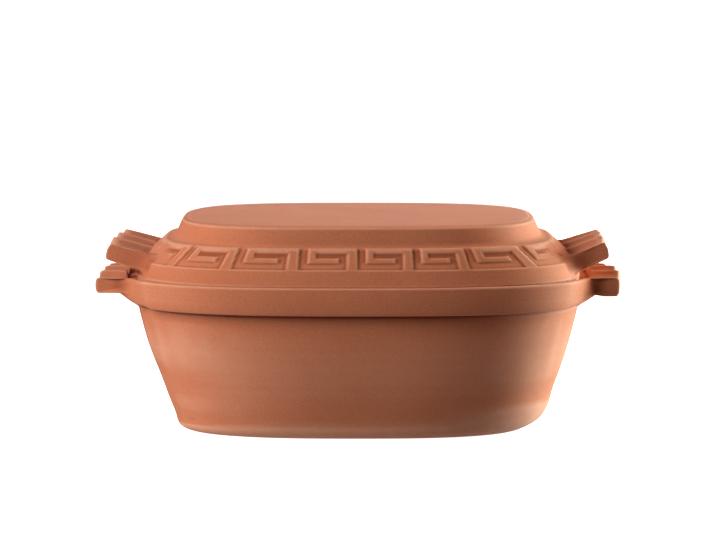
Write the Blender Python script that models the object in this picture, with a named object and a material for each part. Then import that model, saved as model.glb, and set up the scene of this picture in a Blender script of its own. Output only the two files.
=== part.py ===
"""Unglazed clay roaster: an oval baking dish and a domed lid, each cast with two fluted lugs."""
import math

import bmesh
import bpy
from mathutils import Vector

MM = 0.001

# Dish, outside
RIM_LENGTH = 346.4 * MM
RIM_WIDTH = 242.6 * MM
RIM_TOP = 115.0 * MM
RIM_BAND = 19.8 * MM
RIM_DRAFT = 3.6 * MM
RIM_OVERHANG = 10.8 * MM
RIM_FILLET = 4.0 * MM
RIM_ROUND = 1.2 * MM
FOOT_LENGTH = 246.0 * MM
FOOT_WIDTH = 143.2 * MM
FOOT_RADIUS = 13.4 * MM
WALL_BOW = 3.0 * MM
RIM_SQUARENESS = 2.9
FOOT_SQUARENESS = 2.75
CORNER_STEPS = 4
WALL_STEPS = 3

# Dish, inside
DISH_WALL = 8.0 * MM
DISH_FLOOR = 9.0 * MM
FLOOR_INSET = 4.0 * MM
INSIDE_RADIUS = 9.4 * MM
LIP_WIDTH = 2.2 * MM
SEAT_DEPTH = 3.5 * MM

# Lid
SEAT_GAP = 0.3 * MM
LID_PLAY = 0.8 * MM
END_POCKET = 10.0 * MM
LID_WALL = 7.0 * MM
LID_SQUARENESS = 3.0
SKIRT_HEIGHT = 15.2 * MM
SKIRT_DRAFT_END = 1.0 * MM
SKIRT_DRAFT_SIDE = 2.6 * MM
SKIRT_ROUND = 0.9 * MM
SHOULDER_RISE = 14.8 * MM
SHOULDER_RUN_END = 16.5 * MM
SHOULDER_RUN_SIDE = 7.6 * MM
COVE_RISE = 4.8 * MM
COVE_RUN_END = 9.0 * MM
COVE_RUN_SIDE = 1.5 * MM
CROWN_RISE = 10.4 * MM
CROWN_RUN_END = 9.8 * MM
CROWN_RUN_SIDE = 3.9 * MM
CROWN_SQUARENESS = 3.3
CROWN_INSET = 4.2 * MM

# Greek key round the lid's shoulder
KEY_RELIEF = 1.2 * MM
KEY_ROOT = 1.5 * MM
KEY_WIDTHS = [34 * MM, 42 * MM, 45 * MM, 41.5 * MM, 38.5 * MM, 38 * MM, 48 * MM, 34 * MM]
KEY_CENTRE = 4
KEY_COLUMNS = [0.14, 0.145, 0.20, 0.20, 0.13, 0.185]
KEY_ROWS = [-0.14, 0.0, 0.28, 0.52, 0.73, 0.97]
KEY_CELLS = ["-----X", "-----X", "-XXX-X", "-X---X", "-XXXXX"]

# Lugs
FLUTES = 3
FLUTE_STEPS = 6
FLUTE_DEPTH = 2.6 * MM
LUG_DIP_SHARE = 0.35
LUG_BULGE = 0.9 * MM
LUG_EDGE = 0.6 * MM
LUG_FLARE = 3.0 * MM
LUG_FLARE_REACH = 12.0 * MM
NOSE_TUCK = 1.5 * MM
DISH_LUG_WIDTH = 118.8 * MM
DISH_LUG_REACH = 16.3 * MM
DISH_LUG_THICKNESS = 11.4 * MM
DISH_LUG_NOSE = 5.0 * MM
DISH_LUG_CROWN = 0.5 * MM
LID_LUG_WIDTH = 110.8 * MM
LID_LUG_REACH = 18.6 * MM
LID_LUG_TIP = 28.5 * MM
LID_LUG_THICKNESS = 10.6 * MM
LID_LUG_TOP_SLOPE = math.radians(14.5)
LID_LUG_UNDER_SLOPE = math.radians(21.0)
LID_LUG_END_LEAN = 3.3 * MM
LID_LUG_END_DROP = 8.5 * MM
LID_LUG_SHARES = (0.0, 0.45, 0.65, 0.85)

SEGMENTS = 80


class Outline:
    """Oval between an ellipse and a rectangle, seen from above."""

    def __init__(self, half_length, half_width, squareness):
        self.half_length = half_length
        self.half_width = half_width
        self.squareness = squareness

    def grown(self, ends, sides=None):
        sides = ends if sides is None else sides
        return Outline(self.half_length + ends, self.half_width + sides, self.squareness)

    def squared(self, squareness):
        return Outline(self.half_length, self.half_width, squareness)

    def mixed(self, other, share):
        def between(start, end):
            return start + (end - start) * share

        return Outline(
            between(self.half_length, other.half_length),
            between(self.half_width, other.half_width),
            between(self.squareness, other.squareness),
        )

    def point(self, angle, height):
        c = math.cos(angle)
        s = math.sin(angle)
        n = self.squareness
        reach = (abs(c) ** n + abs(s) ** n) ** (-1.0 / n)
        return Vector((self.half_length * reach * c, self.half_width * reach * s, height))


def new_material(name, colour, roughness):
    material = bpy.data.materials.new(name)
    material.use_nodes = True
    shader = material.node_tree.nodes["Principled BSDF"]
    shader.inputs["Base Color"].default_value = (*colour, 1.0)
    shader.inputs["Roughness"].default_value = roughness
    shader.inputs["Metallic"].default_value = 0.0
    material.diffuse_color = (*colour, 1.0)
    return material


def new_object(name, build, collection):
    mesh = bpy.data.meshes.new(name)
    build.to_mesh(mesh)
    build.free()
    piece = bpy.data.objects.new(name, mesh)
    collection.objects.link(piece)
    return piece


def loft(name, rings, collection):
    """Closed solid through level outlines, given from the bottom up as (outline, height)."""
    build = bmesh.new()
    loops = []
    for outline, height in rings:
        angles = [2 * math.pi * (step + 0.5) / SEGMENTS for step in range(SEGMENTS)]
        loops.append([build.verts.new(outline.point(angle, height)) for angle in angles])
    for lower, upper in zip(loops, loops[1:]):
        for step in range(SEGMENTS):
            after = (step + 1) % SEGMENTS
            build.faces.new((lower[step], lower[after], upper[after], upper[step]))
    build.faces.new(list(reversed(loops[0])))
    build.faces.new(loops[-1])
    return new_object(name, build, collection)


def lug(name, width, stations, side, collection):
    """Fluted slab along X: stations run outward as (reach, top, underside, bulge, flare)."""
    build = bmesh.new()
    half = width / 2
    steps = FLUTES * FLUTE_STEPS
    tops = []
    unders = []
    for reach, top, under, bulge, flare in stations:
        top_row = []
        under_row = []
        for step in range(-1, steps + 2):
            share = min(max(step, 0), steps) / steps
            across = 2 * share - 1
            y = half * across
            if step < 0:
                y -= flare
            if step > steps:
                y += flare
            groove = (share * FLUTES) % 1.0
            dip = min(FLUTE_DEPTH, (top - under) * LUG_DIP_SHARE) * (1 - (2 * groove - 1) ** 2)
            x = side * (reach + bulge * (1 - across * across))
            edge = LUG_EDGE if step in (-1, steps + 1) else 0.0
            top_row.append(build.verts.new((x, y, top - dip - edge)))
            under_row.append(build.verts.new((x, y, under + edge)))
        tops.append(top_row)
        unders.append(under_row)
    last = steps + 2
    for top_in, top_out, under_in, under_out in zip(tops, tops[1:], unders, unders[1:]):
        for step in range(last):
            build.faces.new((top_in[step], top_out[step], top_out[step + 1], top_in[step + 1]))
            build.faces.new((under_in[step + 1], under_out[step + 1], under_out[step], under_in[step]))
        for edge in (0, last):
            build.faces.new((top_in[edge], under_in[edge], under_out[edge], top_out[edge]))
    for station in (0, -1):
        for step in range(last):
            corners = (tops[station][step], tops[station][step + 1])
            below = (unders[station][step + 1], unders[station][step])
            build.faces.new(corners + below)
    bmesh.ops.recalc_face_normals(build, faces=build.faces)
    return new_object(name, build, collection)


def join_shape(piece, tool, operation):
    modifier = piece.modifiers.new(tool.name, "BOOLEAN")
    modifier.operation = operation
    modifier.solver = "EXACT"
    modifier.object = tool
    tool.hide_render = True
    tool.display_type = "WIRE"


# Outlines that the dish and the lid share
rim = Outline(RIM_LENGTH / 2, RIM_WIDTH / 2, RIM_SQUARENESS)
rebate = rim.grown(-LIP_WIDTH)
foot = Outline(FOOT_LENGTH / 2, FOOT_WIDTH / 2, FOOT_SQUARENESS)
neck = rim.grown(-RIM_OVERHANG).squared((RIM_SQUARENESS + FOOT_SQUARENESS) / 2)
lid_edge = rim.grown(-LIP_WIDTH - END_POCKET, -LIP_WIDTH - LID_PLAY).squared(LID_SQUARENESS)
seat = RIM_TOP - SEAT_DEPTH

# Heights and outlines up the lid
lid_foot = seat + SEAT_GAP
skirt_height = lid_foot + SKIRT_HEIGHT
shoulder_start = skirt_height + KEY_RELIEF / 3
shoulder_end = skirt_height + SHOULDER_RISE
cove_height = shoulder_end + COVE_RISE
crown_height = cove_height + CROWN_RISE
middle_squareness = (LID_SQUARENESS + CROWN_SQUARENESS) / 2
skirt_top = lid_edge.grown(-SKIRT_DRAFT_END, -SKIRT_DRAFT_SIDE)
shoulder_foot = skirt_top.grown(-KEY_RELIEF)
shoulder_top = shoulder_foot.grown(-SHOULDER_RUN_END, -SHOULDER_RUN_SIDE).squared(middle_squareness)
cove = shoulder_top.grown(-COVE_RUN_END, -COVE_RUN_SIDE)
crown = cove.grown(-CROWN_RUN_END, -CROWN_RUN_SIDE).squared(CROWN_SQUARENESS)


def dish_rings():
    """Foot, rounded corner, bowed wall, then the rim band that stands out over the wall."""
    rings = [(foot, 0.0)]
    neck_height = RIM_TOP - RIM_BAND - RIM_FILLET
    lean = math.atan2(neck.half_length - foot.half_length - FOOT_RADIUS, neck_height)
    turn = math.pi / 2 - lean
    for step in range(1, CORNER_STEPS + 1):
        angle = turn * step / CORNER_STEPS
        rings.append((foot.grown(FOOT_RADIUS * math.sin(angle)), FOOT_RADIUS * (1 - math.cos(angle))))
    corner, start = rings[-1]
    for step in range(1, WALL_STEPS + 1):
        share = step / WALL_STEPS
        wall = corner.mixed(neck, share).grown(WALL_BOW * math.sin(math.pi * share))
        rings.append((wall, start + (neck_height - start) * share))
    band_foot = rim.grown(-RIM_DRAFT)
    underside = RIM_TOP - RIM_BAND
    half_turn = RIM_FILLET * (1 - math.cos(math.pi / 4))
    rings.append((neck.grown(half_turn), underside - half_turn))
    rings.append((band_foot.grown(-RIM_ROUND), underside))
    rings.append((band_foot, underside + RIM_ROUND))
    rings.append((rim, RIM_TOP - RIM_ROUND))
    rings.append((rim.grown(-RIM_ROUND / 2), RIM_TOP))
    return rings


def dish_hollow_rings():
    """The cooking space, one wall inside the dish, opening out to the lid's inner face."""
    mouth = lid_edge.grown(-LID_WALL)
    floor = foot.grown(-FLOOR_INSET)
    inner_neck = neck.grown(-DISH_WALL)
    shoulder = RIM_TOP - RIM_BAND
    rings = [(floor, DISH_FLOOR)]
    for degrees in (45, 80):
        angle = math.radians(degrees)
        rise = INSIDE_RADIUS * (1 - math.cos(angle))
        rings.append((floor.grown(INSIDE_RADIUS * math.sin(angle)), DISH_FLOOR + rise))
    corner = rings[-1][0]
    rings.append((corner.mixed(inner_neck, 0.5).grown(WALL_BOW), (DISH_FLOOR + shoulder) / 2))
    rings.append((inner_neck, shoulder - 2 * RIM_FILLET))
    rings.append((mouth, shoulder + RIM_FILLET))
    rings.append((mouth, RIM_TOP + RIM_BAND))
    return rings


def dish_lug_stations():
    """Level slab with a rounded nose, flush with the rim and flared into it."""
    root = rim.half_length - DISH_WALL - LUG_FLARE_REACH
    tip = rim.half_length + DISH_LUG_REACH
    under = RIM_TOP - DISH_LUG_THICKNESS
    top = RIM_TOP + DISH_LUG_CROWN
    stations = [(root, top, under, 0.0, LUG_FLARE)]
    for share in (0.0, 0.5, 1.0):
        reach = rim.half_length - LUG_FLARE_REACH / 2 + LUG_FLARE_REACH * share
        flare = LUG_EDGE + LUG_FLARE * (1 - share) ** 2
        stations.append((reach, top, under, 0.0, flare))
    for degrees in (0, 35, 65, 90):
        angle = math.radians(degrees)
        reach = tip - DISH_LUG_NOSE * (1 - math.sin(angle))
        height = top - DISH_LUG_NOSE * (1 - math.cos(angle))
        underside = under + NOSE_TUCK * math.sin(angle) ** 4
        stations.append((reach, height, underside, LUG_BULGE, LUG_EDGE))
    return stations


def lid_rings():
    """Skirt, shoulder one relief lower than the skirt, cove, and the rounded flat crown."""
    bend = math.pi / 4
    rings = [
        (lid_edge.grown(-SKIRT_ROUND), lid_foot),
        (lid_edge, lid_foot + SKIRT_ROUND),
        (skirt_top, skirt_height),
        (shoulder_foot, shoulder_start),
        (shoulder_top, shoulder_end),
        (shoulder_top.mixed(cove, math.sin(bend)), shoulder_end + COVE_RISE * (1 - math.cos(bend))),
        (cove, cove_height),
    ]
    for degrees in (25, 50, 90):
        angle = math.radians(degrees)
        edge = cove.mixed(crown, 1 - math.cos(angle))
        rings.append((edge, cove_height + CROWN_RISE * math.sin(angle)))
    return rings


def lid_hollow_rings():
    """The space under the lid, one wall inside its outer face."""
    return [
        (lid_edge.grown(-LID_WALL), lid_foot - LID_WALL),
        (lid_edge.grown(-LID_WALL), lid_foot + SKIRT_ROUND),
        (shoulder_foot.grown(-LID_WALL), skirt_height - LID_WALL / 2),
        (shoulder_top.grown(-LID_WALL), shoulder_end - LID_WALL / 2),
        (crown.grown(-CROWN_INSET), crown_height - LID_WALL),
    ]


def lid_lug_stations():
    """Wedge that rises outward from the skirt, thick at its root, with a leaning end."""
    tip = lid_edge.half_length + LID_LUG_REACH
    tip_top = lid_foot + LID_LUG_TIP
    tip_under = tip_top - LID_LUG_THICKNESS
    corner = tip + LID_LUG_END_LEAN
    root = lid_edge.half_length - SHOULDER_RUN_END - LID_WALL
    stations = []
    for share in LID_LUG_SHARES:
        reach = root + (tip - root) * share
        flare = LUG_EDGE + LUG_FLARE * (1 - share / LID_LUG_SHARES[-1]) ** 2
        top = tip_top - (tip - reach) * math.tan(LID_LUG_TOP_SLOPE)
        under = tip_under - (corner - reach) * math.tan(LID_LUG_UNDER_SLOPE)
        stations.append((reach, top, max(under, lid_foot + LID_WALL), 0.0, flare))
    inner_under = tip_under - LID_LUG_END_LEAN * math.tan(LID_LUG_UNDER_SLOPE)
    stations.append((tip, tip_top, inner_under, LUG_BULGE, LUG_EDGE))
    stations.append((corner, tip_top - LID_LUG_END_DROP, tip_under, LUG_BULGE, LUG_EDGE))
    return stations


def shoulder_point(angle, rise, proud):
    """Point on the shoulder at a share of its height, moved out along the surface normal."""
    def place(turn, share):
        height = shoulder_start + (shoulder_end - shoulder_start) * share
        return shoulder_foot.mixed(shoulder_top, share).point(turn, height)

    step = 0.001
    here = place(angle, rise)
    along = place(angle + step, rise) - here
    up = place(angle, rise + step) - here
    return here + along.cross(up).normalized() * proud


def key_angles(distances):
    """Angles of points at the given distances along the shoulder from the front's middle."""
    ring = shoulder_foot.mixed(shoulder_top, 0.5)
    start = -math.pi / 2
    step = math.radians(0.25)
    angles = []
    for distance in distances:
        angle = start
        travelled = 0.0
        sign = 1 if distance >= 0 else -1
        while travelled < abs(distance):
            travelled += (ring.point(angle + sign * step, 0) - ring.point(angle, 0)).length
            angle += sign * step
        angles.append(angle)
    return angles


def key_unit(name, left, width, turn, collection):
    """One unit of the Greek key as a raised solid that follows the shoulder."""
    edges = [left]
    for share in KEY_COLUMNS:
        edges.append(edges[-1] + share * width)
    angles = key_angles(edges)
    build = bmesh.new()
    corners = {}

    def corner(column, row, layer):
        key = (column, row, layer)
        if key not in corners:
            proud = KEY_RELIEF if layer else -KEY_ROOT
            place = shoulder_point(angles[column] + turn, KEY_ROWS[row], proud)
            corners[key] = build.verts.new(place)
        return corners[key]

    def filled(column, row):
        inside = 0 <= column < len(KEY_COLUMNS) and 0 <= row < len(KEY_CELLS)
        return inside and KEY_CELLS[row][column] == "X"

    for row in range(len(KEY_CELLS)):
        for column in range(len(KEY_COLUMNS)):
            if not filled(column, row):
                continue
            square = [(column, row), (column + 1, row), (column + 1, row + 1), (column, row + 1)]
            build.faces.new([corner(c, r, 1) for c, r in square])
            build.faces.new([corner(c, r, 0) for c, r in reversed(square)])
            neighbours = [(column, row - 1), (column + 1, row), (column, row + 1), (column - 1, row)]
            for index, beside in enumerate(neighbours):
                if not filled(*beside):
                    first = square[index]
                    second = square[(index + 1) % 4]
                    wall = [corner(*first, 0), corner(*second, 0), corner(*second, 1), corner(*first, 1)]
                    build.faces.new(wall)
    return new_object(name, build, collection)


def key_ring(name, collection):
    """The Greek key on both long sides; the back repeats the front turned round."""
    lefts = [-sum(KEY_WIDTHS[:KEY_CENTRE])]
    for width in KEY_WIDTHS:
        lefts.append(lefts[-1] + width)
    build = bmesh.new()
    for turn in (0.0, math.pi):
        for left, width in zip(lefts, KEY_WIDTHS):
            unit = key_unit(name + "_unit", left, width, turn, collection)
            build.from_mesh(unit.data)
            mesh = unit.data
            bpy.data.objects.remove(unit)
            bpy.data.meshes.remove(mesh)
    return new_object(name, build, collection)


for leftover in list(bpy.data.objects):
    bpy.data.objects.remove(leftover, do_unlink=True)

parts = bpy.data.collections.new("clay_roaster")
tools = bpy.data.collections.new("cutters")
bpy.context.scene.collection.children.link(parts)
bpy.context.scene.collection.children.link(tools)

# Dish: body, rim band and two lugs cast in one piece
dish = loft("base_dish", dish_rings(), parts)
for side, end in ((-1, "left"), (1, "right")):
    tool = lug("dish_lug_" + end, DISH_LUG_WIDTH, dish_lug_stations(), side, tools)
    join_shape(dish, tool, "UNION")
rebate_tool = loft("lid_rebate", [(rebate, seat), (rebate, RIM_TOP + RIM_BAND)], tools)
join_shape(dish, rebate_tool, "DIFFERENCE")
hollow_tool = loft("dish_hollow", dish_hollow_rings(), tools)
join_shape(dish, hollow_tool, "DIFFERENCE")
dish.data.materials.append(new_material("dish_terracotta", (0.52, 0.22, 0.12), 0.9))

# Lid: skirt, shoulder, crown, Greek key and two lugs cast in one piece
lid = loft("lid", lid_rings(), parts)
for side, end in ((-1, "left"), (1, "right")):
    tool = lug("lid_lug_" + end, LID_LUG_WIDTH, lid_lug_stations(), side, tools)
    join_shape(lid, tool, "UNION")
lid_hollow_tool = loft("lid_hollow", lid_hollow_rings(), tools)
join_shape(lid, lid_hollow_tool, "DIFFERENCE")
join_shape(lid, key_ring("greek_key", tools), "UNION")
lid.data.materials.append(new_material("lid_terracotta", (0.55, 0.24, 0.14), 0.9))

# The lid lifts straight up, so its parent empty stands on that axis at the seat
lift_axis = bpy.data.objects.new("lid_lift_axis", None)
lift_axis.location = (0.0, 0.0, seat)
tools.objects.link(lift_axis)
bpy.context.view_layer.update()
lid.parent = lift_axis
lid.matrix_parent_inverse = lift_axis.matrix_world.inverted()
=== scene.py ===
import math

import bpy
import numpy as np
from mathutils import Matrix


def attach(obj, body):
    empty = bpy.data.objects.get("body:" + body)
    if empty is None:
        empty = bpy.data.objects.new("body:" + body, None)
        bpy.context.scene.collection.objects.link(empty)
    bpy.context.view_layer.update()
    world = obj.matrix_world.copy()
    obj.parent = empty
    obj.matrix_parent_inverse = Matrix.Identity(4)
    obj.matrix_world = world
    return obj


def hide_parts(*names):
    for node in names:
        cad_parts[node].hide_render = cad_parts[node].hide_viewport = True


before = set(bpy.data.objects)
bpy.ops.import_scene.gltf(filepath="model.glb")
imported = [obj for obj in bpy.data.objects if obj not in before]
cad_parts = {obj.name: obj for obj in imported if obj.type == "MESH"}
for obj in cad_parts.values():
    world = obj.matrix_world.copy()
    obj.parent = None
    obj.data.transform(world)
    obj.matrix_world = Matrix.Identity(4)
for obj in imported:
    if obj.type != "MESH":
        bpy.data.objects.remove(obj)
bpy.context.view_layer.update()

MM = 0.001


# Base dish: a deep oval pan with a rounded foot, a bowed wall and a thick rim band.
# Red clay pressed in a mould and fired unglazed, so every edge is soft. Each end has a level lug,
# pressed in one with the rim, with three finger grooves across its top.
class Oval:
    """Level outline of a clay wall: half-length, half-width and squareness."""

    def __init__(self, ends, sides, square):
        self.ends = ends
        self.sides = sides
        self.square = square

    def grown(self, ends, sides=None):
        sides = ends if sides is None else sides
        return Oval(self.ends + ends, self.sides + sides, self.square)

    def squared(self, square):
        return Oval(self.ends, self.sides, square)

    def mixed(self, other, share):
        return Oval(
            self.ends + (other.ends - self.ends) * share,
            self.sides + (other.sides - self.sides) * share,
            self.square + (other.square - self.square) * share,
        )

    def at(self, height):
        """The outline as one row of a wall profile."""
        return (height, self.ends, self.sides, self.square)


def soften(values, width):
    """Rounds the corners of a densely sampled line, leaving its two ends in place."""
    reach = int(3 * width) + 1
    steps = np.arange(-reach, reach + 1)
    kernel = np.exp(-0.5 * (steps / width) ** 2)
    kernel /= kernel.sum()
    before = 2 * values[:1] - values[reach:0:-1]
    after = 2 * values[-1:] - values[-2:-reach - 2:-1]
    padded = np.concatenate([before, values, after])
    result = sum(weight * padded[i:i + len(values)] for i, weight in enumerate(kernel))
    result[0] = values[0]
    result[-1] = values[-1]
    return result


class Profile:
    """A wall's section from one edge to the other: rows of (height, ends, sides, squareness)."""

    SAMPLE = 0.1 * MM

    def __init__(self, rows, rounding):
        rows = np.array(rows, float)
        steps = np.hypot(np.diff(rows[:, 0]), np.diff((rows[:, 1] + rows[:, 2]) / 2))
        along = np.concatenate([[0.0], np.cumsum(steps)])
        dense = np.arange(0.0, along[-1], self.SAMPLE)
        dense = np.append(dense, along[-1])
        table = np.stack([np.interp(dense, along, rows[:, k]) for k in range(4)], 1)
        self.along = dense
        self.table = soften(table, rounding / self.SAMPLE)

    def row(self, distance):
        return [np.interp(distance, self.along, self.table[:, k]) for k in range(4)]

    def distance_at(self, height):
        """Distance along the wall to the first place that is as high as this."""
        return self.along[np.argmax(self.table[:, 0] >= height)]

    def rows(self, start, end, count, first=True):
        stops = np.linspace(start, end, count + 1)
        return [self.row(stop) for stop in (stops if first else stops[1:])]


def smooth(share):
    """An even share of 0 to 1 made to start and stop gently."""
    return share * share * (3 - 2 * share)


# A lug's side edges are rounded. Beyond the lugs, and below and above these heights, the columns
# let go of their places across the lugs.
EDGE_ROUND = 0.9 * MM
HOLD_FADE = 26 * MM
HOLD_HEIGHTS = [35.0 * MM, 84.0 * MM, 134.0 * MM, 150.0 * MM]


class Columns:
    """Columns round a piece. Over a lug they keep one place across it; elsewhere they fan out."""

    def __init__(self, outline, half_width, flutes, steps, spread, spacing, round_steps, walls):
        """steps are the columns in a flute and spread is their distance where they run into the
        wall. spacing is that of the others. walls is how far each one beside a lug follows it."""
        lug_edge = half_width - EDGE_ROUND
        count = flutes * steps // 2
        top = lug_edge * np.arange(count + 1) / count
        turn = np.pi / 2 * np.arange(1, round_steps + 1) / round_steps
        edge = lug_edge + EDGE_ROUND * np.sin(turn)
        wall = np.full(len(walls), half_width)
        lug = np.concatenate([top, edge, wall])
        grow = np.concatenate([np.ones(len(top) + len(edge)), walls])
        inset = np.concatenate([0 * top, EDGE_ROUND * (1 - np.cos(turn)), EDGE_ROUND + 0 * wall])
        body = np.concatenate([top, lug_edge + spread * np.arange(1, len(edge) + len(wall) + 1)])
        x = outline.ends * (1 - (body / outline.sides) ** outline.square) ** (1 / outline.square)
        angle = np.arctan2(body / outline.sides, x / outline.ends)
        # The rest of the quarter, evenly spaced along the outline. A quarter is a multiple of nine
        # columns, so that the last rings of clay_skin can thin out evenly.
        fine = np.linspace(angle[-1], np.pi / 2, 4000)
        c, s = np.cos(fine), np.sin(fine)
        reach = (c.clip(0) ** outline.square + s ** outline.square) ** (-1 / outline.square)
        px, py = outline.ends * reach * c, outline.sides * reach * s
        run = np.concatenate([[0.0], np.cumsum(np.hypot(np.diff(px), np.diff(py)))])
        more = int(round(run[-1] / spacing))
        more += (-(len(body) - 1 + more)) % 9
        stops = np.linspace(0, run[-1], more + 1)[1:]
        rest = np.interp(stops, run, fine)
        rest_y = np.interp(stops, run, py)
        fade = np.clip((rest_y - body[-1]) / HOLD_FADE, 0, 1)
        quarter = {
            "angle": np.concatenate([angle, rest]),
            "hold": np.concatenate([body, rest_y]),
            "firm": np.concatenate([np.ones(len(body)), 1 - smooth(fade)]),
            "lug": np.concatenate([lug, np.full(more, half_width)]),
            "grow": np.concatenate([grow, np.zeros(more)]),
            "inset": np.concatenate([inset, np.full(more, EDGE_ROUND)]),
        }
        self.angle = self.ring(quarter["angle"], lambda a: np.pi - a, lambda a: np.pi + a,
                               lambda a: 2 * np.pi - a)
        keep, flip = np.positive, np.negative
        self.hold = self.ring(quarter["hold"], keep, flip, flip)
        self.lug = self.ring(quarter["lug"], keep, flip, flip)
        self.firm = self.ring(quarter["firm"], keep, keep, keep)
        self.grow = self.ring(quarter["grow"], keep, keep, keep)
        self.inset = self.ring(quarter["inset"], keep, keep, keep)
        self.side = np.where(np.cos(self.angle) >= 0, 1.0, -1.0)
        self.half_width = half_width
        self.flutes = flutes

    @staticmethod
    def ring(quarter, second, third, fourth):
        """The full round from its first quarter: the others are mirrored and changed as told."""
        return np.concatenate([
            quarter, second(quarter[-2::-1]), third(quarter[1:]), fourth(quarter[-2:0:-1]),
        ])

    def near_lug(self, full, fade):
        """1 at the columns within a distance of the lugs' middle lines, 0 beyond the fade."""
        share = np.clip((full + fade - np.abs(self.hold)) / fade, 0, 1)
        return share * (np.abs(np.cos(self.angle)) > 0.3)

    def groove(self):
        """Depth share of the finger grooves: 0 on a ridge, 1 in the middle of a groove."""
        across = (self.lug / self.half_width + 1) / 2 * self.flutes
        return 1 - np.abs(2 * (across % 1.0) - 1) ** 3.2

    def wall(self, rows):
        """Points of each row of a wall profile at every column."""
        result = []
        c, s = np.abs(np.cos(self.angle)), np.sin(self.angle)
        for height, ends, sides, square in rows:
            reach = (c ** square + np.abs(s) ** square) ** (-1 / square)
            y = sides * reach * s
            held = smooth(np.interp(height, HOLD_HEIGHTS, [0, 1, 1, 0]))
            y = y + (self.hold - y) * self.firm * held
            share = np.clip(np.abs(y) / sides, 0, 1)
            x = self.side * ends * (1 - share ** square) ** (1 / square)
            result.append(np.stack([x, y, np.full_like(x, height)], 1))
        return np.array(result)


def lug_line(corners, counts, rounding, inset):
    """Section of a lug as rows of points (out from the middle, height), one column each.

    counts are the rows between the corners. The corners come out rounded, and a column with an
    inset lies that far inside the section."""
    line, stops = [corners[:1]], [0]
    for start, end, count in zip(corners, corners[1:], counts):
        length = np.median(np.linalg.norm(end - start, axis=1))
        each = max(2, round(length / (count * Profile.SAMPLE)))
        share = np.linspace(0, 1, count * each + 1)[1:, None, None]
        line.append(start + (end - start) * share)
        stops += [stops[-1] + each * (k + 1) for k in range(count)]
    line = soften(np.concatenate(line), rounding / Profile.SAMPLE)
    along = np.gradient(line, axis=0)
    along /= np.linalg.norm(along, axis=2, keepdims=True)
    outward = np.stack([along[..., 1], -along[..., 0]], 2)
    from_root = np.minimum(np.linalg.norm(line - line[:1], axis=2),
                           np.linalg.norm(line - line[-1:], axis=2))
    fade = np.clip(from_root / (4 * EDGE_ROUND), 0, 1)
    line = line - outward * (inset * fade)[..., None]
    return line[stops]


LUG_FLARE = 9.0 * MM


def grow_lug(body, section, columns, taper):
    """Pulls rows of the wall out into the lug, with side walls that flare into the wall."""
    lug = columns.lug * taper
    out = np.stack([columns.side * section[..., 0], lug, section[..., 1]], 2)
    pull = (out - body) * columns.grow[:, None]
    far = np.linalg.norm(pull[..., [0, 2]], axis=2)
    share = 1 - (1 - np.clip(far / LUG_FLARE, 0, 1)) ** 2
    result = body + pull
    result[..., 1] = body[..., 1] + (lug - body[..., 1]) * share
    return np.where((columns.grow > 0)[None, :, None], result, body)


def between(points):
    """The middle of each point's four neighbours, round the piece and up its wall."""
    across = (np.roll(points, 1, 1) + np.roll(points, -1, 1)) / 2
    along = points.copy()
    along[1:-1] = (points[2:] + points[:-2]) / 2
    return (across + along) / 2


def sponge(points, damp, times):
    """Rounds the places where damp is above 0, as a wet sponge does on raw clay."""
    for _ in range(times):
        points = points + (between(points) - points) * damp[..., None] * 0.7
    return points


def surface_normals(points):
    around = np.roll(points, -1, 1) - np.roll(points, 1, 1)
    up = np.gradient(points, axis=0)
    normal = np.cross(around, up)
    return normal / np.maximum(np.linalg.norm(normal, axis=2, keepdims=True), 1e-12)


STANDOUT_SPAN = 0.5 * MM
CORNER_STRENGTH = 1.5


def wear_and_painted_light_of(points, calm_edges, calm_corners):
    """How far each point stands out from its surroundings: 0.5 is even, 1 an edge, 0 a corner.

    Edges turn pale from wear and a painted highlight, corners darken with painted shade. Where
    calm_edges or calm_corners is 1, an edge or a corner counts as even."""
    blurred = points
    for _ in range(6):
        blurred = between(blurred)
    proud = np.einsum("ijk,ijk->ij", points - blurred, surface_normals(points))
    stand = np.where(proud < 0, CORNER_STRENGTH * proud * (1 - calm_corners),
                     proud * (1 - calm_edges))
    return np.clip(0.5 + stand / STANDOUT_SPAN, 0, 1)


def hand_wobble(mesh, amount, seed):
    """Slow unevenness of a hand-finished piece, none on its foot and its level faces."""
    count = len(mesh.vertices)
    place, normal = np.empty(3 * count), np.empty(3 * count)
    mesh.vertices.foreach_get("co", place)
    mesh.vertices.foreach_get("normal", normal)
    place, normal = place.reshape(-1, 3), normal.reshape(-1, 3)
    waves = np.random.default_rng(seed)
    swell = np.zeros(count)
    for _ in range(7):
        direction = waves.normal(size=3)
        direction *= 2 * np.pi / (waves.uniform(45, 110) * MM) / np.linalg.norm(direction)
        swell += np.sin(place @ direction + waves.uniform(0, 2 * np.pi))
    swell *= amount / 3 * np.clip(place[:, 2] / (12 * MM), 0, 1)
    swell *= np.clip(8 * (1 - np.abs(normal[:, 2])), 0, 1)
    mesh.vertices.foreach_set("co", (place + normal * swell[:, None]).ravel())


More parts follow.
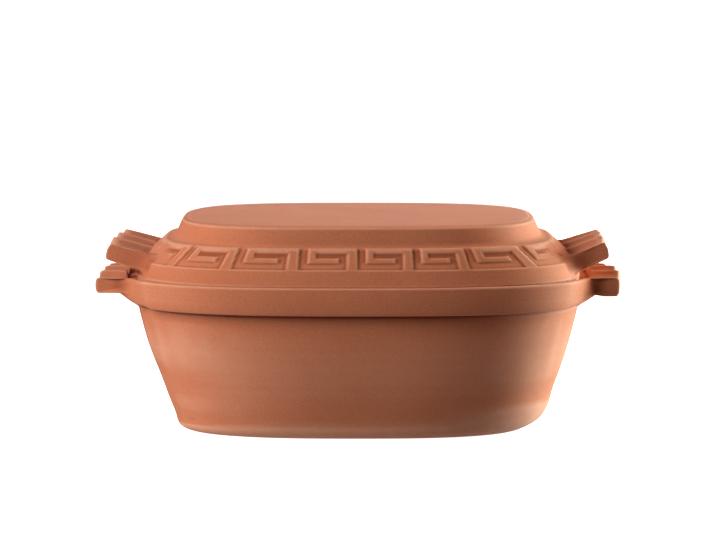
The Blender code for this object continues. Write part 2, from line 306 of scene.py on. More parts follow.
def clay_skin(name, points, wear_and_painted_light, first, last, wobble, seed):
    """Closed skin over the rings, ended by rings that shrink to the points first and last.

    Those last rings keep every column, then every third and then every ninth."""
    rings, wear_and_painted_light = list(points), list(wear_and_painted_light)
    for centre, where in ((first, 0), (last, -1)):
        edge = rings[where]
        even = np.full(len(edge), 0.5)
        for share, stride in ((0.92, 1), (0.8, 3), (0.62, 9), (0.44, 9), (0.28, 9), (0.12, 9)):
            ring = centre + (edge - centre) * share
            ring[:, 2] = centre[2] + (edge[:, 2] - centre[2]) * share ** 2
            place = 0 if where == 0 else len(rings)
            rings.insert(place, ring[::stride])
            wear_and_painted_light.insert(place, even[::stride])
    offsets = np.cumsum([0] + [len(ring) for ring in rings])
    faces = []
    for i in range(len(rings) - 1):
        lower = offsets[i] + np.arange(len(rings[i]) + 1) % len(rings[i])
        upper = offsets[i + 1] + np.arange(len(rings[i + 1]) + 1) % len(rings[i + 1])
        if len(lower) == len(upper):
            faces += np.stack([lower[:-1], lower[1:], upper[1:], upper[:-1]], 1).tolist()
        elif len(lower) < len(upper):
            for j in range(len(lower) - 1):
                three = upper[3 * j + 3:3 * j - 1 if j else None:-1]
                faces.append([lower[j], lower[j + 1], *three])
        else:
            for j in range(len(upper) - 1):
                faces.append([*lower[3 * j:3 * j + 4], upper[j + 1], upper[j]])
    centre_low, centre_high = offsets[-1], offsets[-1] + 1
    size = len(rings[0])
    faces += [[centre_low, (j + 1) % size, j] for j in range(size)]
    size, start = len(rings[-1]), offsets[-2]
    faces += [[start + j, start + (j + 1) % size, centre_high] for j in range(size)]
    verts = np.concatenate(rings + [np.array([first, last])])
    mesh = bpy.data.meshes.new(name)
    mesh.from_pydata(verts.tolist(), [], [[int(v) for v in face] for face in faces])
    mesh.polygons.foreach_set("use_smooth", np.ones(len(mesh.polygons), bool))
    worn = mesh.attributes.new("wear_and_painted_light", "FLOAT", "POINT")
    worn.data.foreach_set("value", np.concatenate(wear_and_painted_light + [[0.5, 0.5]]).astype(np.float32))
    mesh.validate()
    hand_wobble(mesh, wobble, seed)
    piece = bpy.data.objects.new(name, mesh)
    bpy.context.scene.collection.objects.link(piece)
    return piece


def rolled_foot(outline, height, radius, turn, steps):
    """Rows of a wall's section round the corner at its foot, in eighths of the turn."""
    rows = []
    for step in steps:
        angle = turn * step / 8
        out, up = radius * math.sin(angle), radius * (1 - math.cos(angle))
        rows.append(outline.grown(out).at(height + up))
    return rows


def bowed_wall(low, low_height, high, high_height, shares):
    """Rows of a wall's section between two outlines, bowed out most halfway up."""
    rows = []
    for share in shares:
        outline = low.mixed(high, share).grown(WALL_BOW * math.sin(math.pi * share))
        rows.append(outline.at(low_height + (high_height - low_height) * share))
    return rows


RIM_TOP = 115.0 * MM
RIM_BAND = 20.6 * MM
LIP = 2.2 * MM
SEAT = RIM_TOP - 3.5 * MM
WALL = 8.0 * MM
WALL_BOW = 3.0 * MM
FOOT_ROUND = 13.4 * MM
FOOT_TURN = math.radians(66)
FLOOR_TOP = 9.0 * MM
FLOOR_ROUND = 9.4 * MM
FLOOR_TURN = math.radians(80)
FLOOR_CORNER = 16.8 * MM
LUG_UNDER = 103.6 * MM
DISH_GROOVE = 4.3 * MM
band_foot = RIM_TOP - RIM_BAND
rim = Oval(173.2 * MM, 121.3 * MM, 2.83)
rebate = rim.grown(-LIP)
foot = Oval(123.0 * MM, 73.0 * MM, 2.8)
neck = rim.grown(-9.7 * MM, -10.8 * MM).squared(2.78)
lid_edge = rim.grown(-8.8 * MM, -2.9 * MM).squared(3.0)

dish_columns = Columns(rim, half_width=53.0 * MM, flutes=3, steps=30, spread=0.58 * MM,
                       spacing=2.3 * MM, round_steps=4, walls=np.array([
                           0.9, 0.76, 0.63, 0.51, 0.41, 0.32, 0.24, 0.165, 0.1, 0.05, 0.015, 0.0]))

outside = [foot.at(0.0)]
outside += rolled_foot(foot, 0.0, FOOT_ROUND, FOOT_TURN, range(1, 9))
corner = foot.grown(FOOT_ROUND * math.sin(FOOT_TURN))
corner_height = outside[-1][0]
outside += bowed_wall(corner, corner_height, neck, band_foot - 2.0 * MM,
                      [step / 12 for step in range(1, 13)])
# The undercut below the band, the band, turned under at its foot, and its rounded top edge
outside.append(neck.grown(-1.3 * MM).at(band_foot + 1.4 * MM))
outside.append(neck.grown(0.4 * MM).at(band_foot + 3.0 * MM))
for inset, rise in ((5.0, 0.3), (4.2, 0.0), (3.5, 0.9), (2.7, 3.0), (2.0, 5.5), (1.4, 8.2),
                    (0.85, 11.3), (0.45, 14.6)):
    outside.append(rim.grown(-inset * MM).at(band_foot + rise * MM))
for inset, drop in ((0.1, 0.9), (0.4, 0.3), (1.3, 0.0)):
    outside.append(rim.grown(-inset * MM).at(RIM_TOP - drop * MM))
outer_wall = Profile(outside, 0.4 * MM)
lug_start = outer_wall.distance_at(LUG_UNDER)
band_start = outer_wall.distance_at(band_foot - 5 * MM)
wall_start = outer_wall.distance_at(corner_height)

lower = outer_wall.rows(0, wall_start, 9)
lower += outer_wall.rows(wall_start, band_start, 20, False)
lower += outer_wall.rows(band_start, lug_start, 22, False)[:-1]
# Rows of a lug between its corners: six parts up its side, then two in across the rim
LUG_ROWS = (3, 9, 3, 3, 3, 3, 4, 14)
side_rows = sum(LUG_ROWS[:6])
rim_rows = sum(LUG_ROWS[6:])
lug_wall = outer_wall.rows(lug_start, outer_wall.along[-1], side_rows)
lug_wall += [rim.mixed(rebate, 0.59 + 0.41 * (k + 1) / rim_rows).at(RIM_TOP)
             for k in range(rim_rows)]

dish_low = dish_columns.wall(lower)
dish_band = dish_columns.wall(lug_wall)
# Under the lugs the band slopes in from the lug down to its foot
out_at_lug = smooth(dish_columns.near_lug(48 * MM, 14 * MM)) * dish_columns.side
band_depth = rim.ends - 4.2 * MM - neck.ends
for (height, ends, _, _), wall in zip(lower + lug_wall[:1], [*dish_low, dish_band[0]]):
    if height > band_foot - 0.5 * MM:
        on_band = np.clip((ends - neck.ends) / band_depth, 0, 1)
        fillet = (6.6 + 0.6 * dish_columns.side) * MM
        fillet = fillet * np.clip((height - 95.2 * MM) / (8.4 * MM), 0, 1)
        tuck = 2.2 * MM * np.clip((98.5 * MM - height) / (4 * MM), 0, 1)
        wall[:, 0] += out_at_lug * on_band * (fillet - tuck)
# across runs from -1 at a lug's front to 1 at its back
right_lug = dish_columns.side > 0
dip = DISH_GROOVE * dish_columns.groove()
across = dish_columns.lug / dish_columns.half_width
crest = RIM_TOP + 2.3 * MM - 2.1 * MM * across ** 2
# The left lug ends nearly square, a little longer in front; the right one is bowed
tip = np.where(right_lug, 194.6 * MM - 0.2 * MM * across - 4.2 * MM * across ** 2,
               191.6 * MM - 0.5 * MM * across - 0.1 * MM * across ** 2)
under = LUG_UNDER - np.where(right_lug, 2.8 * MM, 0.3 * MM)
root_low = np.abs(dish_band[0, :, 0])
root_high = np.abs(dish_band[-1, :, 0])
lug_corners = np.array([
    np.stack([root_low, np.full_like(across, LUG_UNDER)], 1),
    np.stack([root_low + 3.0 * MM, under + 0.2 * MM], 1),
    np.stack([tip - 2.0 * MM, under], 1),
    np.stack([tip - 0.8 * MM, under + 1.2 * MM], 1),
    np.stack([tip - 0.1 * MM - dip * 0.1, under + 3.8 * MM], 1),
    np.stack([tip - dip * 0.25, crest - 4.2 * MM - dip * 0.1], 1),
    np.stack([tip - 0.6 * MM - dip * 0.35, crest - 1.2 * MM - dip * 0.5], 1),
    np.stack([tip - 2.2 * MM - dip * 0.3, crest - dip * 0.8], 1),
    np.stack([root_high, crest - dip], 1),
])
dish_lug = lug_line(lug_corners, LUG_ROWS, 0.7 * MM, dish_columns.inset)
taper = 1 - 0.055 * np.clip((dish_lug[..., 0] - 172 * MM) / (18 * MM), 0, 1)
dish_band = grow_lug(dish_band, dish_lug, dish_columns, taper)

# Inside: the rebate's wall, the seat that the lid stands on, the bowed wall and the floor
inside_seat = dish_columns.wall([rebate.at(SEAT)])[0]
rebate_wall = [dish_band[-1] + (inside_seat - dish_band[-1]) * share
               for share in (0.25, 0.6, 0.9, 1.0)]
mouth = lid_edge.grown(-7.0 * MM)
floor = foot.grown(-4.0 * MM)
neck_inside = neck.grown(-WALL)
inside = [rebate.grown(-0.6 * MM).at(SEAT), mouth.grown(1.4 * MM).at(SEAT),
          mouth.at(SEAT - 1.4 * MM), mouth.at(band_foot + 8 * MM),
          neck_inside.at(band_foot - 8 * MM)]
inside_corner = floor.grown(FLOOR_ROUND * math.sin(FLOOR_TURN))
inside += bowed_wall(inside_corner, FLOOR_CORNER, neck_inside, band_foot - 8 * MM,
                     [step / 16 for step in range(15, 0, -1)])
inside += rolled_foot(floor, FLOOR_TOP, FLOOR_ROUND, FLOOR_TURN, range(8, -1, -1))
inner_wall = Profile(inside, 1.2 * MM)
inner_rows = inner_wall.rows(0, 12 * MM, 9)
inner_rows += inner_wall.rows(12 * MM, inner_wall.along[-1], 26, False)
dish_inside = dish_columns.wall(inner_rows)

# Sponged lightly over the lugs, well where they run into the wall, and once along the rim's
# inner edge. Rows start to end are those that the lugs grow from.
dish_points = np.concatenate([dish_low, dish_band, np.array(rebate_wall), dish_inside])
start = len(dish_low)
end = start + len(dish_band)
near_lug = dish_columns.near_lug(70 * MM, 8 * MM)
damp = np.zeros(dish_points.shape[:2])
damp[start - 8:end - 1] = 0.4 * near_lug
dish_points = sponge(dish_points, damp, 2)
damp[...] = 0
damp[start - 12:start + side_rows + 4] = near_lug * np.clip((0.5 - dish_columns.grow) / 0.4, 0, 1)
damp[start - 8:start + 6] = np.maximum(damp[start - 8:start + 6], near_lug)
dish_points = sponge(dish_points, damp, 14)
damp[...] = 0
damp[end - 3:end + 6] = 0.5
dish_points = sponge(dish_points, damp, 1)
# Not quite even: the body is fuller low down at its right end and flatter halfway up its left end,
# and the foot lies a little left of the middle
x, z = dish_points[..., 0], dish_points[..., 2]
right = np.clip(x / foot.ends, 0, 1) ** 2
fuller = 2.4 * MM * right * np.exp(-((z - 15 * MM) / (11 * MM)) ** 2)
dish_points[..., 0] += fuller * np.clip(z / (8 * MM), 0, 1)
left = np.clip(-x / foot.ends, 0, 1) ** 2
dish_points[..., 0] += 1.5 * MM * left * np.exp(-((z - 40 * MM) / (19 * MM)) ** 2)
dish_points[..., 0] -= 3.5 * MM * np.exp(-(z / (6 * MM)) ** 2) * np.abs(x / foot.ends).clip(0, 1)
# The band's foot gets no pale edge, shade is painted on the clay just under the band, and less
# painted corner shade goes where the lugs join
band_foot_calm = np.zeros((len(dish_points), 1))
painted_shade_under_band = np.zeros((len(dish_points), 1))
for row, (height, ends, _, _) in enumerate(lower):
    rise = height - band_foot
    band_foot_calm[row] = np.interp(rise, [-1 * MM, 0, 2 * MM, 8.5 * MM], [0, 0.85, 0.85, 0])
    # Painted shade just under the band, where the band's shadow falls
    if ends < neck.ends + 2 * MM:
        painted_shade_under_band[row] = 0.36 * math.exp(-(max(-rise, 0) / (5.5 * MM)) ** 2)
calm = 0.8 * near_lug * (np.arange(len(dish_points)) < end)[:, None]
dish_wear_and_painted_light = np.clip(wear_and_painted_light_of(dish_points, band_foot_calm, calm) - painted_shade_under_band, 0, 1)
clay_dish = clay_skin("clay_dish", dish_points, dish_wear_and_painted_light, np.array([0, 0, 0.0]),
                      np.array([0, 0, FLOOR_TOP]), 0.16 * MM, 11)


class Wire:
    """A shader socket that can stand in Python sums; each sum adds its Math node."""

    def __init__(self, finish, socket):
        self.finish = finish
        self.socket = socket

    def sum(self, operation, *values):
        return self.finish.node("ShaderNodeMath", {"operation": operation}, dict(enumerate(values)))

    def __add__(self, other):
        return self.sum("ADD", self, other)

    def __radd__(self, other):
        return self.sum("ADD", other, self)

    def __sub__(self, other):
        return self.sum("SUBTRACT", self, other)

    def __rsub__(self, other):
        return self.sum("SUBTRACT", other, self)

    def __mul__(self, other):
        return self.sum("MULTIPLY", self, other)

    def __rmul__(self, other):
        return self.sum("MULTIPLY", other, self)


class Finish:
    """One node material, built from wires."""

    def __init__(self, name):
        self.material = bpy.data.materials.new(name)
        self.material.use_nodes = True
        self.tree = self.material.node_tree
        self.tree.nodes.clear()

    def node(self, kind, settings=None, sockets=None, out=0):
        """Adds a node with its settings, then the values and wires of its sockets."""
        made = self.tree.nodes.new(kind)
        for key, value in (settings or {}).items():
            setattr(made, key, value)
        for key, value in (sockets or {}).items():
            if isinstance(value, Wire):
                self.tree.links.new(value.socket, made.inputs[key])
            else:
                made.inputs[key].default_value = value
        return Wire(self, made.outputs[out]) if made.outputs else None

    def surfaced(self, shader):
        self.node("ShaderNodeOutputMaterial", {}, {"Surface": shader})
        return self.material

    def mixed(self, factor, first, second, blend="MIX"):
        settings = {"data_type": "RGBA", "blend_type": blend, "clamp_factor": True}
        return self.node("ShaderNodeMix", settings, {0: factor, 6: first, 7: second}, 2)


# Pale edges: partly rubbed wear, partly a painted highlight on edges that catch the light
EDGE_WEAR_AND_HIGHLIGHT = 0.36
RUBBED_EDGE_AND_HIGHLIGHT = (0.86, 0.50, 0.34, 1)


def fired_clay(name, tone, seed):
    """Unglazed red clay: fine grain and pores, slow clouding from the kiln, dark grit in places,
    pale edges that are partly rubbed wear and partly a painted highlight, and painted shade in
    corners. A point attribute on the mesh says where edges and corners are, and on the dish where
    shade is painted under the band."""
    clay = Finish(name)
    place = clay.node("ShaderNodeTexCoord", out="Object")
    place = clay.node("ShaderNodeVectorMath", {"operation": "ADD"}, {0: place, 1: (seed, 0.0, 0.0)})

    def noise(scale, detail, rough, distort=0.0):
        return clay.node("ShaderNodeTexNoise", {"noise_dimensions": "3D"}, {
            "Vector": place, "Scale": scale, "Detail": detail, "Roughness": rough,
            "Distortion": distort})

    def cells(scale):
        return clay.node("ShaderNodeTexVoronoi", {"feature": "F1"}, {
            "Vector": place, "Scale": scale})

    def ranged(value, low, high, new_low, new_high, curve="LINEAR"):
        return clay.node("ShaderNodeMapRange", {"interpolation_type": curve}, {
            "Value": value, "From Min": low, "From Max": high, "To Min": new_low,
            "To Max": new_high})

    def toned(red, green, blue):
        return (tone[0] * red, tone[1] * green, tone[2] * blue, 1)

    clouds = noise(14.0, 3.0, 0.55, 0.4)
    mottle = noise(70.0, 4.0, 0.6)
    grain = noise(900.0, 3.0, 0.7)
    wear_and_painted_light = clay.node("ShaderNodeAttribute", {"attribute_name": "wear_and_painted_light"}, out=2)

    base = clay.mixed(clouds, toned(0.86, 0.80, 0.76), toned(1.10, 1.16, 1.22))
    base = clay.mixed((mottle - 0.35) * 0.5, base, (*tone, 1))
    speck = ranged(grain, 0.30, 0.70, 0.90, 1.08, "SMOOTHSTEP")
    speck = clay.node("ShaderNodeCombineColor", {}, {0: speck, 1: speck, 2: speck})
    base = clay.mixed(1.0, base, speck, "MULTIPLY")
    grit = ranged(cells(520.0), 0.10, 0.22, 0.35, 0.0) * ranged(mottle, 0.52, 0.62, 0.0, 1.0)
    base = clay.mixed(grit, base, toned(0.5, 0.4, 0.4))
    # Pale edges, partly rubbed wear and partly a painted highlight
    edge = ranged(wear_and_painted_light, 0.62, 0.95, 0.0, EDGE_WEAR_AND_HIGHLIGHT)
    base = clay.mixed(edge * (mottle + 0.4), base, RUBBED_EDGE_AND_HIGHLIGHT)
    # Painted shade in corners and creases, and on the dish just under its band
    painted_crease_shade = ranged(wear_and_painted_light, 0.45, 0.0, 0.0, 0.8)
    base = clay.mixed(painted_crease_shade, base, toned(0.50, 0.34, 0.26))

    height = grain * 0.5 + mottle * 0.35 + cells(1500.0) * 0.25
    bump = clay.node("ShaderNodeBump", {}, {"Strength": 0.35, "Distance": 0.0004, "Height": height})
    return clay.surfaced(clay.node("ShaderNodeBsdfPrincipled", {}, {
        "Base Color": base, "Roughness": ranged(mottle, 0.3, 0.7, 0.80, 0.90), "Normal": bump,
        "Specular IOR Level": 0.25, "Sheen Weight": 0.05, "Sheen Roughness": 0.5}))


clay_dish.data.materials.append(fired_clay("fired_clay_dish", (0.56, 0.185, 0.085), 3.0))
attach(clay_dish, "dish")
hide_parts("base_dish")


# Lid: a straight skirt that drops into the dish's rebate, a sloping shoulder with a Greek key
# pressed into it, a cove and a flat oval crown with a crisp edge. Red clay, pressed in one
# with two fluted lugs that rise outward.
KEY_RELIEF = 1.15 * MM
LID_FOOT = SEAT + 0.3 * MM
SKIRT_TOP = LID_FOOT + 15.2 * MM
SHOULDER_START = SKIRT_TOP + 0.5 * MM
SHOULDER_END = SKIRT_TOP + 14.8 * MM
SHOULDER_DEPTH = 16.5 * MM
COVE = 4.8 * MM
COVE_TOP = SHOULDER_END + COVE
CROWN_TOP = COVE_TOP + 10.9 * MM
LID_THICK = 7.0 * MM
LID_GROOVE = 4.4 * MM
LUG_ROOT = 117.3 * MM
LUG_ROOT_TOP = 133.8 * MM

tongue = lid_edge.grown(-0.7 * MM)
skirt_line = lid_edge.grown(-4.2 * MM, -2.7 * MM)
shoulder_foot = skirt_line.grown(-KEY_RELIEF)
shoulder_head = shoulder_foot.grown(-SHOULDER_DEPTH, -7.6 * MM).squared(3.15)
cove_line = shoulder_head.grown(-8.7 * MM, -1.5 * MM)
crown_edge = cove_line.grown(-4.2 * MM, -0.8 * MM).squared(3.1)
crown_line = crown_edge.grown(-4.0 * MM, -7.6 * MM).squared(3.0)

lid_columns = Columns(lid_edge, half_width=55.0 * MM, flutes=3, steps=26, spread=0.7 * MM,
                      spacing=1.12 * MM, round_steps=4, walls=np.array([
                          0.94, 0.83, 0.7, 0.57, 0.44, 0.32, 0.21, 0.12, 0.05, 0.0]))

section = [tongue.grown(-0.9 * MM).at(LID_FOOT), tongue.at(LID_FOOT + 0.9 * MM),
           tongue.at(RIM_TOP - 0.1 * MM), lid_edge.grown(-0.3 * MM).at(RIM_TOP + 0.4 * MM),
           skirt_line.at(SKIRT_TOP), shoulder_foot.at(SHOULDER_START),
           shoulder_head.at(SHOULDER_END)]
for degrees in (22, 45, 68):
    turn = math.radians(degrees)
    section.append(shoulder_head.mixed(cove_line, math.sin(turn)).at(
        SHOULDER_END + COVE * (1 - math.cos(turn))))
section += [cove_line.at(COVE_TOP), crown_edge.at(CROWN_TOP - 1.6 * MM),
            crown_line.at(CROWN_TOP - 0.3 * MM), crown_line.grown(-9 * MM).at(CROWN_TOP - 0.1 * MM),
            crown_line.grown(-14 * MM).at(CROWN_TOP)]
lid_wall = Profile(section, 0.38 * MM)

root_under = lid_wall.distance_at(LUG_ROOT)
root_over = lid_wall.distance_at(LUG_ROOT_TOP)
shoulder_stop = lid_wall.distance_at(SHOULDER_END)
skirt_rows = lid_wall.rows(0, root_under, 8)[:-1]
LID_LUG_ROWS = (2, 7, 2, 2, 3, 4, 11, 3)
root_rows = lid_wall.rows(root_under, root_over, sum(LID_LUG_ROWS))
shoulder_rows = lid_wall.rows(root_over, shoulder_stop, 11, False)
crown_start = lid_wall.along[-1] - 13.5 * MM
upper_rows = lid_wall.rows(shoulder_stop, crown_start, 34, False)
upper_rows += lid_wall.rows(crown_start, lid_wall.along[-1], 3, False)

lid_root = lid_columns.wall(root_rows)
across = lid_columns.lug / lid_columns.half_width
groove = LID_GROOVE * lid_columns.groove()
right_lug = lid_columns.side > 0
ridge = np.where(right_lug, 144.0 * MM - 0.3 * MM * across - 2.1 * MM * across ** 2,
                 142.9 * MM + 0.4 * MM * across - 1.4 * MM * across ** 4)
lug_foot = np.where(right_lug, 128.9 * MM, 128.2 * MM)
# The lid sits turned a little, so its right lug reaches out behind and its left one in front
tip = np.where(right_lug, 183.4 * MM + 1.9 * MM * across,
               182.9 * MM - 1.2 * MM * across - 1.3 * MM * across ** 2)
# The lugs' tops fall inward from their tips until they meet the shoulder
root_x = np.abs(lid_root[0, :, 0])
over_x = np.abs(lid_root[-1, :, 0])
over_z = lid_root[-1, :, 2]
fall = np.where(right_lug, 0.34 - 0.045 * across, 0.255)
shoulder_slope = (SHOULDER_END - SHOULDER_START) / SHOULDER_DEPTH
meet_x = (over_z + over_x * shoulder_slope - ridge + groove + tip * fall) / (fall + shoulder_slope)
meet_x = np.maximum(meet_x, over_x + 0.2 * MM)
meet_z = ridge - groove - (tip - meet_x) * fall
face_z = lug_foot + 0.62 * (ridge - lug_foot) - groove * 0.3
lug_corners = np.array([
    np.stack([root_x, np.full_like(across, LUG_ROOT)], 1),
    np.stack([root_x + 1.0 * MM, np.where(right_lug, 119.2 * MM, 120.2 * MM)], 1),
    np.stack([tip + 0.2 * MM, lug_foot], 1),
    np.stack([tip + 1.0 * MM, lug_foot + 1.1 * MM], 1),
    np.stack([tip + 1.0 * MM, lug_foot + 3.4 * MM], 1),
    np.stack([tip + 0.1 * MM - groove * 0.1, face_z], 1),
    np.stack([tip - 2.6 * MM - groove * 0.2, ridge - 0.5 * MM - groove * 0.75], 1),
    np.stack([meet_x, meet_z], 1),
    np.stack([over_x, over_z], 1),
])
lid_lug = lug_line(lug_corners, LID_LUG_ROWS, 0.6 * MM, lid_columns.inset)
taper = 1 - 0.02 * np.clip((lid_lug[..., 0] - 165 * MM) / (16 * MM), 0, 1)
lid_root = grow_lug(lid_root, lid_lug, lid_columns, taper)

# Greek key: each unit runs up its right side from the skirt, back along the top, down its left
# side and in towards its middle. These are the right ends of the units at the foot and the head
# of the shoulder, from the front's middle. The back is the front turned round.
key_low = np.array([-174.5, -131.1, -86.2, -40.2, -0.5, 37.0, 75.1, 125.5, 165.4]) * MM
key_high = np.array([-173.5, -128.6, -88.9, -43.4, -0.2, 40.8, 78.4, 121.1, 167.6]) * MM
# Strokes of one unit: from and to along it, then from and to up it, as shares of the unit. Their
# edges fade over SOFT_RISE to either side on the left, SOFT_FALL at a unit's right end and
# SOFT_EDGE elsewhere.
KEY_STROKES = ((0.815, 1.0, -1.0, 0.98), (0.145, 1.0, 0.74, 0.98), (0.145, 0.29, 0.29, 0.98),
               (0.145, 0.685, 0.29, 0.52))
KEY_TALL = 17.0 * MM
SOFT_RISE = 0.85 * MM
SOFT_FALL = 0.55 * MM
SOFT_EDGE = 0.9 * MM
middle_ring = lid_columns.wall([shoulder_foot.mixed(shoulder_head, 0.5).at(0)])[0]
steps = np.linalg.norm(np.roll(middle_ring, -1, 0) - middle_ring, axis=1)
travel = np.concatenate([[0], np.cumsum(steps)[:-1]])
front = np.argmin(np.abs(lid_columns.angle - 1.5 * np.pi))
half_round = steps.sum() / 2
along_key = (travel - travel[front] - key_low[0]) % half_round + key_low[0]
end_unit = (half_round + key_low[0] - key_low[-1]) / 2
key_low = np.append(key_low, [key_low[-1] + end_unit, key_low[0] + half_round])
key_high = np.append(key_high, [key_high[-1] + end_unit, key_high[0] + half_round])


def key_mask(rise):
    """Share of the Greek key's strokes in the surface, at each row's rise and each column."""
    deepest = np.ones((len(rise), len(along_key)))
    rise = rise[:, None]
    for unit in range(len(key_low) - 1):
        left = key_low[unit] + (key_high[unit] - key_low[unit]) * rise
        right = key_low[unit + 1] + (key_high[unit + 1] - key_low[unit + 1]) * rise
        share = (along_key - left) / (right - left)
        width = key_low[unit + 1] - key_low[unit]
        for start_x, end_x, start_z, end_z in KEY_STROKES:
            to_left = (start_x - share) * width / SOFT_RISE
            to_right = (share - end_x) * width / (SOFT_FALL if end_x == 1 else SOFT_EDGE)
            to_low = (start_z - rise) * KEY_TALL / SOFT_EDGE
            to_high = (rise - end_z) * KEY_TALL / SOFT_EDGE
            gap_x = np.maximum(to_left, to_right)
            gap_z = np.maximum(to_low, to_high)
            gap = np.hypot(np.maximum(gap_x, 0), np.maximum(gap_z, 0))
            deepest = np.minimum(deepest, gap + np.minimum(np.maximum(gap_x, gap_z), 0))
    return smooth(np.clip((1 - deepest) / 2, 0, 1))


# Inside: an even wall that follows the outside, from the ceiling down to the tongue
ceiling = crown_line.grown(-3.0 * MM, 0.0)
under = [ceiling.at(CROWN_TOP - LID_THICK),
         shoulder_head.grown(-LID_THICK).at(SHOULDER_END - LID_THICK / 2),
         shoulder_foot.grown(-LID_THICK).at(SKIRT_TOP - LID_THICK / 2),
         lid_edge.grown(-LID_THICK).at(LID_FOOT + 0.9 * MM),
         lid_edge.grown(-LID_THICK + 0.9 * MM).at(LID_FOOT),
         tongue.grown(-0.9 * MM).at(LID_FOOT)]
lid_under = Profile(under, 1.2 * MM)
lid_inside = lid_columns.wall(lid_under.rows(0, lid_under.along[-1], 17)[:-1])
lid_points = np.concatenate([
    lid_inside, lid_columns.wall(skirt_rows), lid_root, lid_columns.wall(shoulder_rows),
    lid_columns.wall(upper_rows)])

# The shoulder lies back by the relief, and the strokes stand out to the skirt's line. There are
# none on the lugs, and towards them they are worn, where the mould pressed them less.
wall_rows = np.array(skirt_rows + root_rows + shoulder_rows)
row_height = wall_rows[:, 0]
full_ends = np.interp(row_height, [SKIRT_TOP - 1.5 * MM, SKIRT_TOP, SHOULDER_END],
                      [skirt_line.ends, skirt_line.ends, shoulder_head.ends + KEY_RELIEF])
sunk = np.clip((full_ends - wall_rows[:, 1]) / KEY_RELIEF, 0, 1)
sunk = sunk * (row_height > SKIRT_TOP - 1.5 * MM)
relief = key_mask((row_height - SHOULDER_START) / (SHOULDER_END - SHOULDER_START)) * sunk[:, None]
on_lug = lid_columns.near_lug(59 * MM, 5 * MM)
above_lug = np.clip((row_height - lid_wall.row(root_over)[0] - 1.0 * MM) / (1.2 * MM), 0, 1)
relief *= 1 - on_lug * (1 - above_lug[:, None])
outer = slice(len(lid_inside), len(lid_inside) + len(wall_rows))
worn_ends = np.clip((np.abs(lid_points[outer, :, 0]) - 128 * MM) / (10 * MM), 0, 1)
relief *= KEY_RELIEF * (1 - 0.68 * worn_ends)
lid_points[outer] += surface_normals(lid_points)[outer] * relief[..., None]

# Sponged lightly over the lugs and well where they run into the wall
start = len(lid_inside) + len(skirt_rows)
end = start + len(root_rows)
near_lug = lid_columns.near_lug(63 * MM, 5 * MM)
damp = np.zeros(lid_points.shape[:2])
damp[start - 5:end + 2] = 0.3 * near_lug
lid_points = sponge(lid_points, damp, 2)
damp[...] = 0
damp[start - 8:end + 2] = near_lug * np.clip((0.8 - lid_columns.grow) / 0.4, 0, 1)
lid_points = sponge(lid_points, damp, 14)

# No painted shade in corners from the cove up, and less of it outside where the lugs join
rows = np.arange(len(lid_points))[:, None]
calm = np.maximum(0.8 * near_lug * (rows > len(lid_inside) + 1),
                  rows > len(lid_points) - len(upper_rows) - 3)
clay_lid = clay_skin("clay_lid", lid_points, wear_and_painted_light_of(lid_points, 0, calm),
                     np.array([0, 0, CROWN_TOP - LID_THICK]), np.array([0, 0, CROWN_TOP]),
                     0.14 * MM, 5)
clay_lid.data.materials.append(fired_clay("fired_clay_lid", (0.57, 0.19, 0.088), 9.0))
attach(clay_lid, "lid")
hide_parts("lid")


# Floor: a plain white paper sweep that the roaster stands on. It isn't part of the object.
# It glows white by itself and throws neither light nor shadow onto the clay.
SWEEP = 45.0
SWEEP_LEVEL = -0.1 * MM
sweep = bpy.data.meshes.new("floor_sweep")
sweep.from_pydata([
    (-SWEEP, -SWEEP, SWEEP_LEVEL), (SWEEP, -SWEEP, SWEEP_LEVEL), (SWEEP, SWEEP, SWEEP_LEVEL),
    (-SWEEP, SWEEP, SWEEP_LEVEL)], [], [(0, 1, 2, 3)])
floor_sweep = bpy.data.objects.new("floor_sweep", sweep)
bpy.context.scene.collection.objects.link(floor_sweep)
paper = Finish("white_sweep")
fibres = paper.node("ShaderNodeTexNoise", {}, {"Scale": 6.0, "Detail": 2.0})
tint = paper.mixed(fibres, (0.93, 0.93, 0.93, 1), (0.96, 0.96, 0.96, 1))
sweep.materials.append(paper.surfaced(paper.node("ShaderNodeBsdfPrincipled", {}, {
    "Base Color": tint, "Roughness": 0.95, "Emission Color": (1, 1, 1, 1),
    "Emission Strength": 1.0})))
floor_sweep.visible_diffuse = False
floor_sweep.visible_glossy = False
floor_sweep.visible_shadow = False


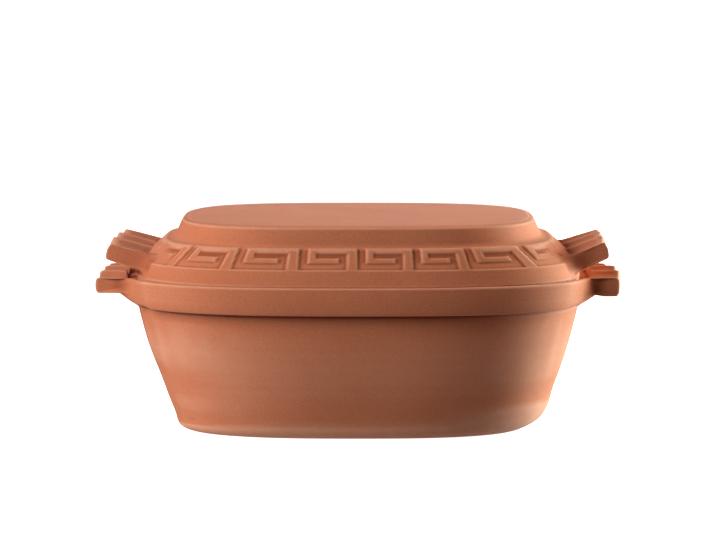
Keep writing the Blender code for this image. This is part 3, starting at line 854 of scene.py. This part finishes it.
# Camera: a long lens about 2 m off, looking down 6.2 degrees onto the front.
# LENS is its length in pixels of the photo, and PIXEL is what one covers at the roaster.
PHOTO_WIDTH = 716
PIXEL = 0.742 * MM
LENS = 2800
lens = bpy.data.cameras.new("photo_camera")
lens.sensor_width = 36
lens.lens = LENS / PHOTO_WIDTH * lens.sensor_width
lens.shift_x = -0.3 / PHOTO_WIDTH
lens.clip_end = 80
camera = bpy.data.objects.new("photo_camera", lens)
camera.location = (0, -LENS * PIXEL, 459.6 * PIXEL)
camera.rotation_euler = (math.radians(90 - 6.21), 0, 0)
bpy.context.scene.collection.objects.link(camera)
bpy.context.scene.camera = camera


# Light: a soft box on the left and two on the right, weaker ones behind, and a dim white room.
# Two low glows stand for the light that the white table throws back up.
def soft_box(name, place, size, power, colour):
    """A soft box that faces the roaster; place is its azimuth, elevation and distance."""
    lamp = bpy.data.lights.new(name, "AREA")
    lamp.shape = "RECTANGLE"
    lamp.size, lamp.size_y = size
    lamp.energy = power
    lamp.color = colour
    box = bpy.data.objects.new(name, lamp)
    azimuth, elevation, distance = place
    a, e = math.radians(azimuth), math.radians(elevation)
    box.location = (distance * math.sin(a) * math.cos(e), -distance * math.cos(a) * math.cos(e),
                    0.08 + distance * math.sin(e))
    box.rotation_euler = (math.radians(90) - e, 0, a)
    bpy.context.scene.collection.objects.link(box)


soft_box("left_box", (-54, 28, 1.6), (0.8, 0.9), 27.4, (1.0, 0.93, 0.91))
soft_box("right_box", (109, 3, 1.6), (0.7, 0.5), 52.0, (0.62, 0.93, 1.0))
soft_box("right_high_box", (100, 20, 1.6), (0.5, 0.6), 18.0, (1.0, 0.74, 0.52))
soft_box("back_left_box", (-150, 30, 1.6), (0.6, 0.6), 5.5, (0.9, 0.97, 1.0))
soft_box("back_right_box", (170, 16, 1.6), (0.6, 0.6), 8.0, (1.0, 0.60, 0.44))
soft_box("left_table_glow", (-72, -42, 0.55), (0.4, 0.4), 1.3, (1.0, 0.96, 0.98))
soft_box("right_table_glow", (90, -20, 1.6), (0.6, 0.6), 9.0, (1.0, 0.80, 0.78))

world = bpy.data.worlds.new("white_room")
bpy.context.scene.world = world
world.use_nodes = True
room = world.node_tree.nodes["Background"]
room.inputs["Color"].default_value = (1, 0.93, 0.86, 1)
room.inputs["Strength"].default_value = 0.01
bpy.context.scene.view_settings.view_transform = "Standard"
